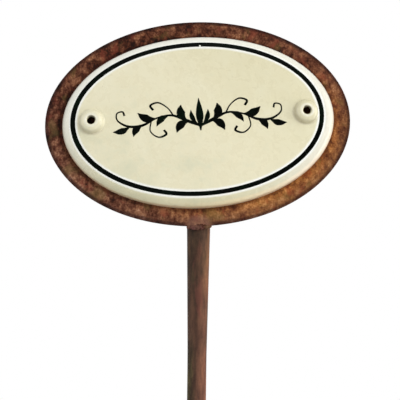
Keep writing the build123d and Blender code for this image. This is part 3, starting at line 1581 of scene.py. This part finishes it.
@dataclass
class AreaLamp:
    """One soft box with white light.

    Attributes:
        name: The lamp's name.
        azimuth: Direction that it stands in, from -Y towards +X.
        elevation: Its height above the horizon.
        distance: Distance from the point that it faces, in metres.
        size: Its width and height, in metres.
        watts: Its power.
    """

    name: str
    azimuth: float
    elevation: float
    distance: float
    size: tuple[float, float]
    watts: float

    def build(self, target: Vector) -> bpy.types.Object:
        """Makes the lamp and aims it.

        Args:
            target: The point that it faces.

        Returns:
            The lamp's object.
        """
        data = bpy.data.lights.new(self.name, "AREA")
        data.shape = "RECTANGLE"
        data.size, data.size_y = self.size
        data.energy = self.watts
        lamp = stand(self.name, data)
        back = bearing(self.azimuth, self.elevation)
        lamp.location = target + back * self.distance
        lamp.rotation_euler = (-back).to_track_quat("-Z", "Y").to_euler()
        return lamp


@dataclass
class Studio:
    """Pale floor, white surroundings, soft lamps and the camera.

    Attributes:
        floor_reach: Half of the floor's width, in metres.
        floor_squares: Number of squares along each side of it.
        sky: Strength of the even light from all round.
        focal_px: The camera's focal length in pixels of the image.
        azimuth: Direction that the camera looks from, from -Y towards +X.
        elevation: The camera's height above the point that it looks at, as an angle.
        roll: The camera's turn about its own axis.
        distance: Distance from the camera to that point.
        aim: That point from the centre of the back plate's front.
        clip: Nearest and furthest distance that the camera shows, in metres.
    """

    floor_reach: float = 3.0
    floor_squares: int = 8
    sky: float = 0.54
    focal_px: float = 700.0
    azimuth: float = -2.63
    elevation: float = -10.54
    roll: float = 0.69
    distance: float = 278.5
    aim: Point = (0.65, 0.0, -32.63)
    clip: Span = (0.01, 20.0)

    def build_floor(self, height: float) -> bpy.types.Object:
        """Makes the floor.

        Args:
            height: Its height, in metres.

        Returns:
            The floor's object.
        """
        solid = bmesh.new()
        bmesh.ops.create_grid(
            solid,
            x_segments=self.floor_squares,
            y_segments=self.floor_squares,
            size=self.floor_reach,
            matrix=Matrix.Translation((0, 0, height)),
        )
        floor = cast("floor", solid, FloorFinish().material())
        return floor

    def build_world(self) -> None:
        """Makes white surroundings that light the object evenly."""
        world = bpy.data.worlds.new("white_studio")
        bpy.context.scene.world = world
        world.use_nodes = True
        bench = Bench(world.node_tree)
        even = bench.add("ShaderNodeBackground", None, {"Color": WHITE, "Strength": self.sky})
        white = bench.add("ShaderNodeBackground", None, {"Color": WHITE, "Strength": 1.0})
        surface = bench.add("ShaderNodeMixShader", None, {0: bench.seen_directly(), 1: even, 2: white})
        bench.add("ShaderNodeOutputWorld", None, {"Surface": surface})

    def build_camera(self, centre: Vector) -> bpy.types.Object:
        """Makes the camera.

        Args:
            centre: The centre of the back plate's front.

        Returns:
            The camera's object.
        """
        data = bpy.data.cameras.new("camera")
        data.sensor_width = SENSOR_MM
        data.lens = SENSOR_MM * self.focal_px / IMAGE_PX
        data.clip_start, data.clip_end = self.clip
        camera = stand("camera", data)
        back = bearing(self.azimuth, self.elevation)
        a, t = math.radians(self.azimuth), math.radians(self.roll)
        level = Vector((math.cos(a), math.sin(a), 0))
        upright = back.cross(level)
        right = math.cos(t) * level + math.sin(t) * upright
        up = -math.sin(t) * level + math.cos(t) * upright
        spot = centre + Vector(self.aim) * MM + back * self.distance * MM
        camera.matrix_world = axes_matrix(right, up, back, spot)
        bpy.context.scene.camera = camera
        return camera

    def build(self, centre: Vector) -> None:
        """Makes the whole studio.

        Args:
            centre: The centre of the back plate's front.
        """
        bpy.context.scene.view_settings.view_transform = "Standard"
        self.build_floor(cad_box[0].z)
        self.build_world()
        for lamp in (
            AreaLamp("key_lamp", azimuth=38, elevation=21, distance=0.9, size=(0.5, 0.5), watts=2.75),
            AreaLamp("side_lamp", azimuth=74, elevation=6, distance=0.7, size=(0.22, 0.8), watts=2.1),
            AreaLamp("fill_lamp", azimuth=-60, elevation=8, distance=1.2, size=(0.9, 0.9), watts=2.1),
            AreaLamp("back_lamp", azimuth=170, elevation=20, distance=1.2, size=(0.9, 0.9), watts=3.0),
        ):
            lamp.build(centre)
        self.build_camera(centre)


def main() -> None:
    """Builds the sub-assemblies in order and reports each new piece."""
    logging.basicConfig(level=logging.INFO, format="%(name)s: %(message)s")
    sign = Sign()
    for piece in sign.build():
        log.info("made %s with %d faces", piece.name, len(piece.data.polygons))
    steel = SteelWork(sign)
    steel.build()
    Bonding().build()
    Studio().build(steel.front())


if __name__ == "__main__":
    main()
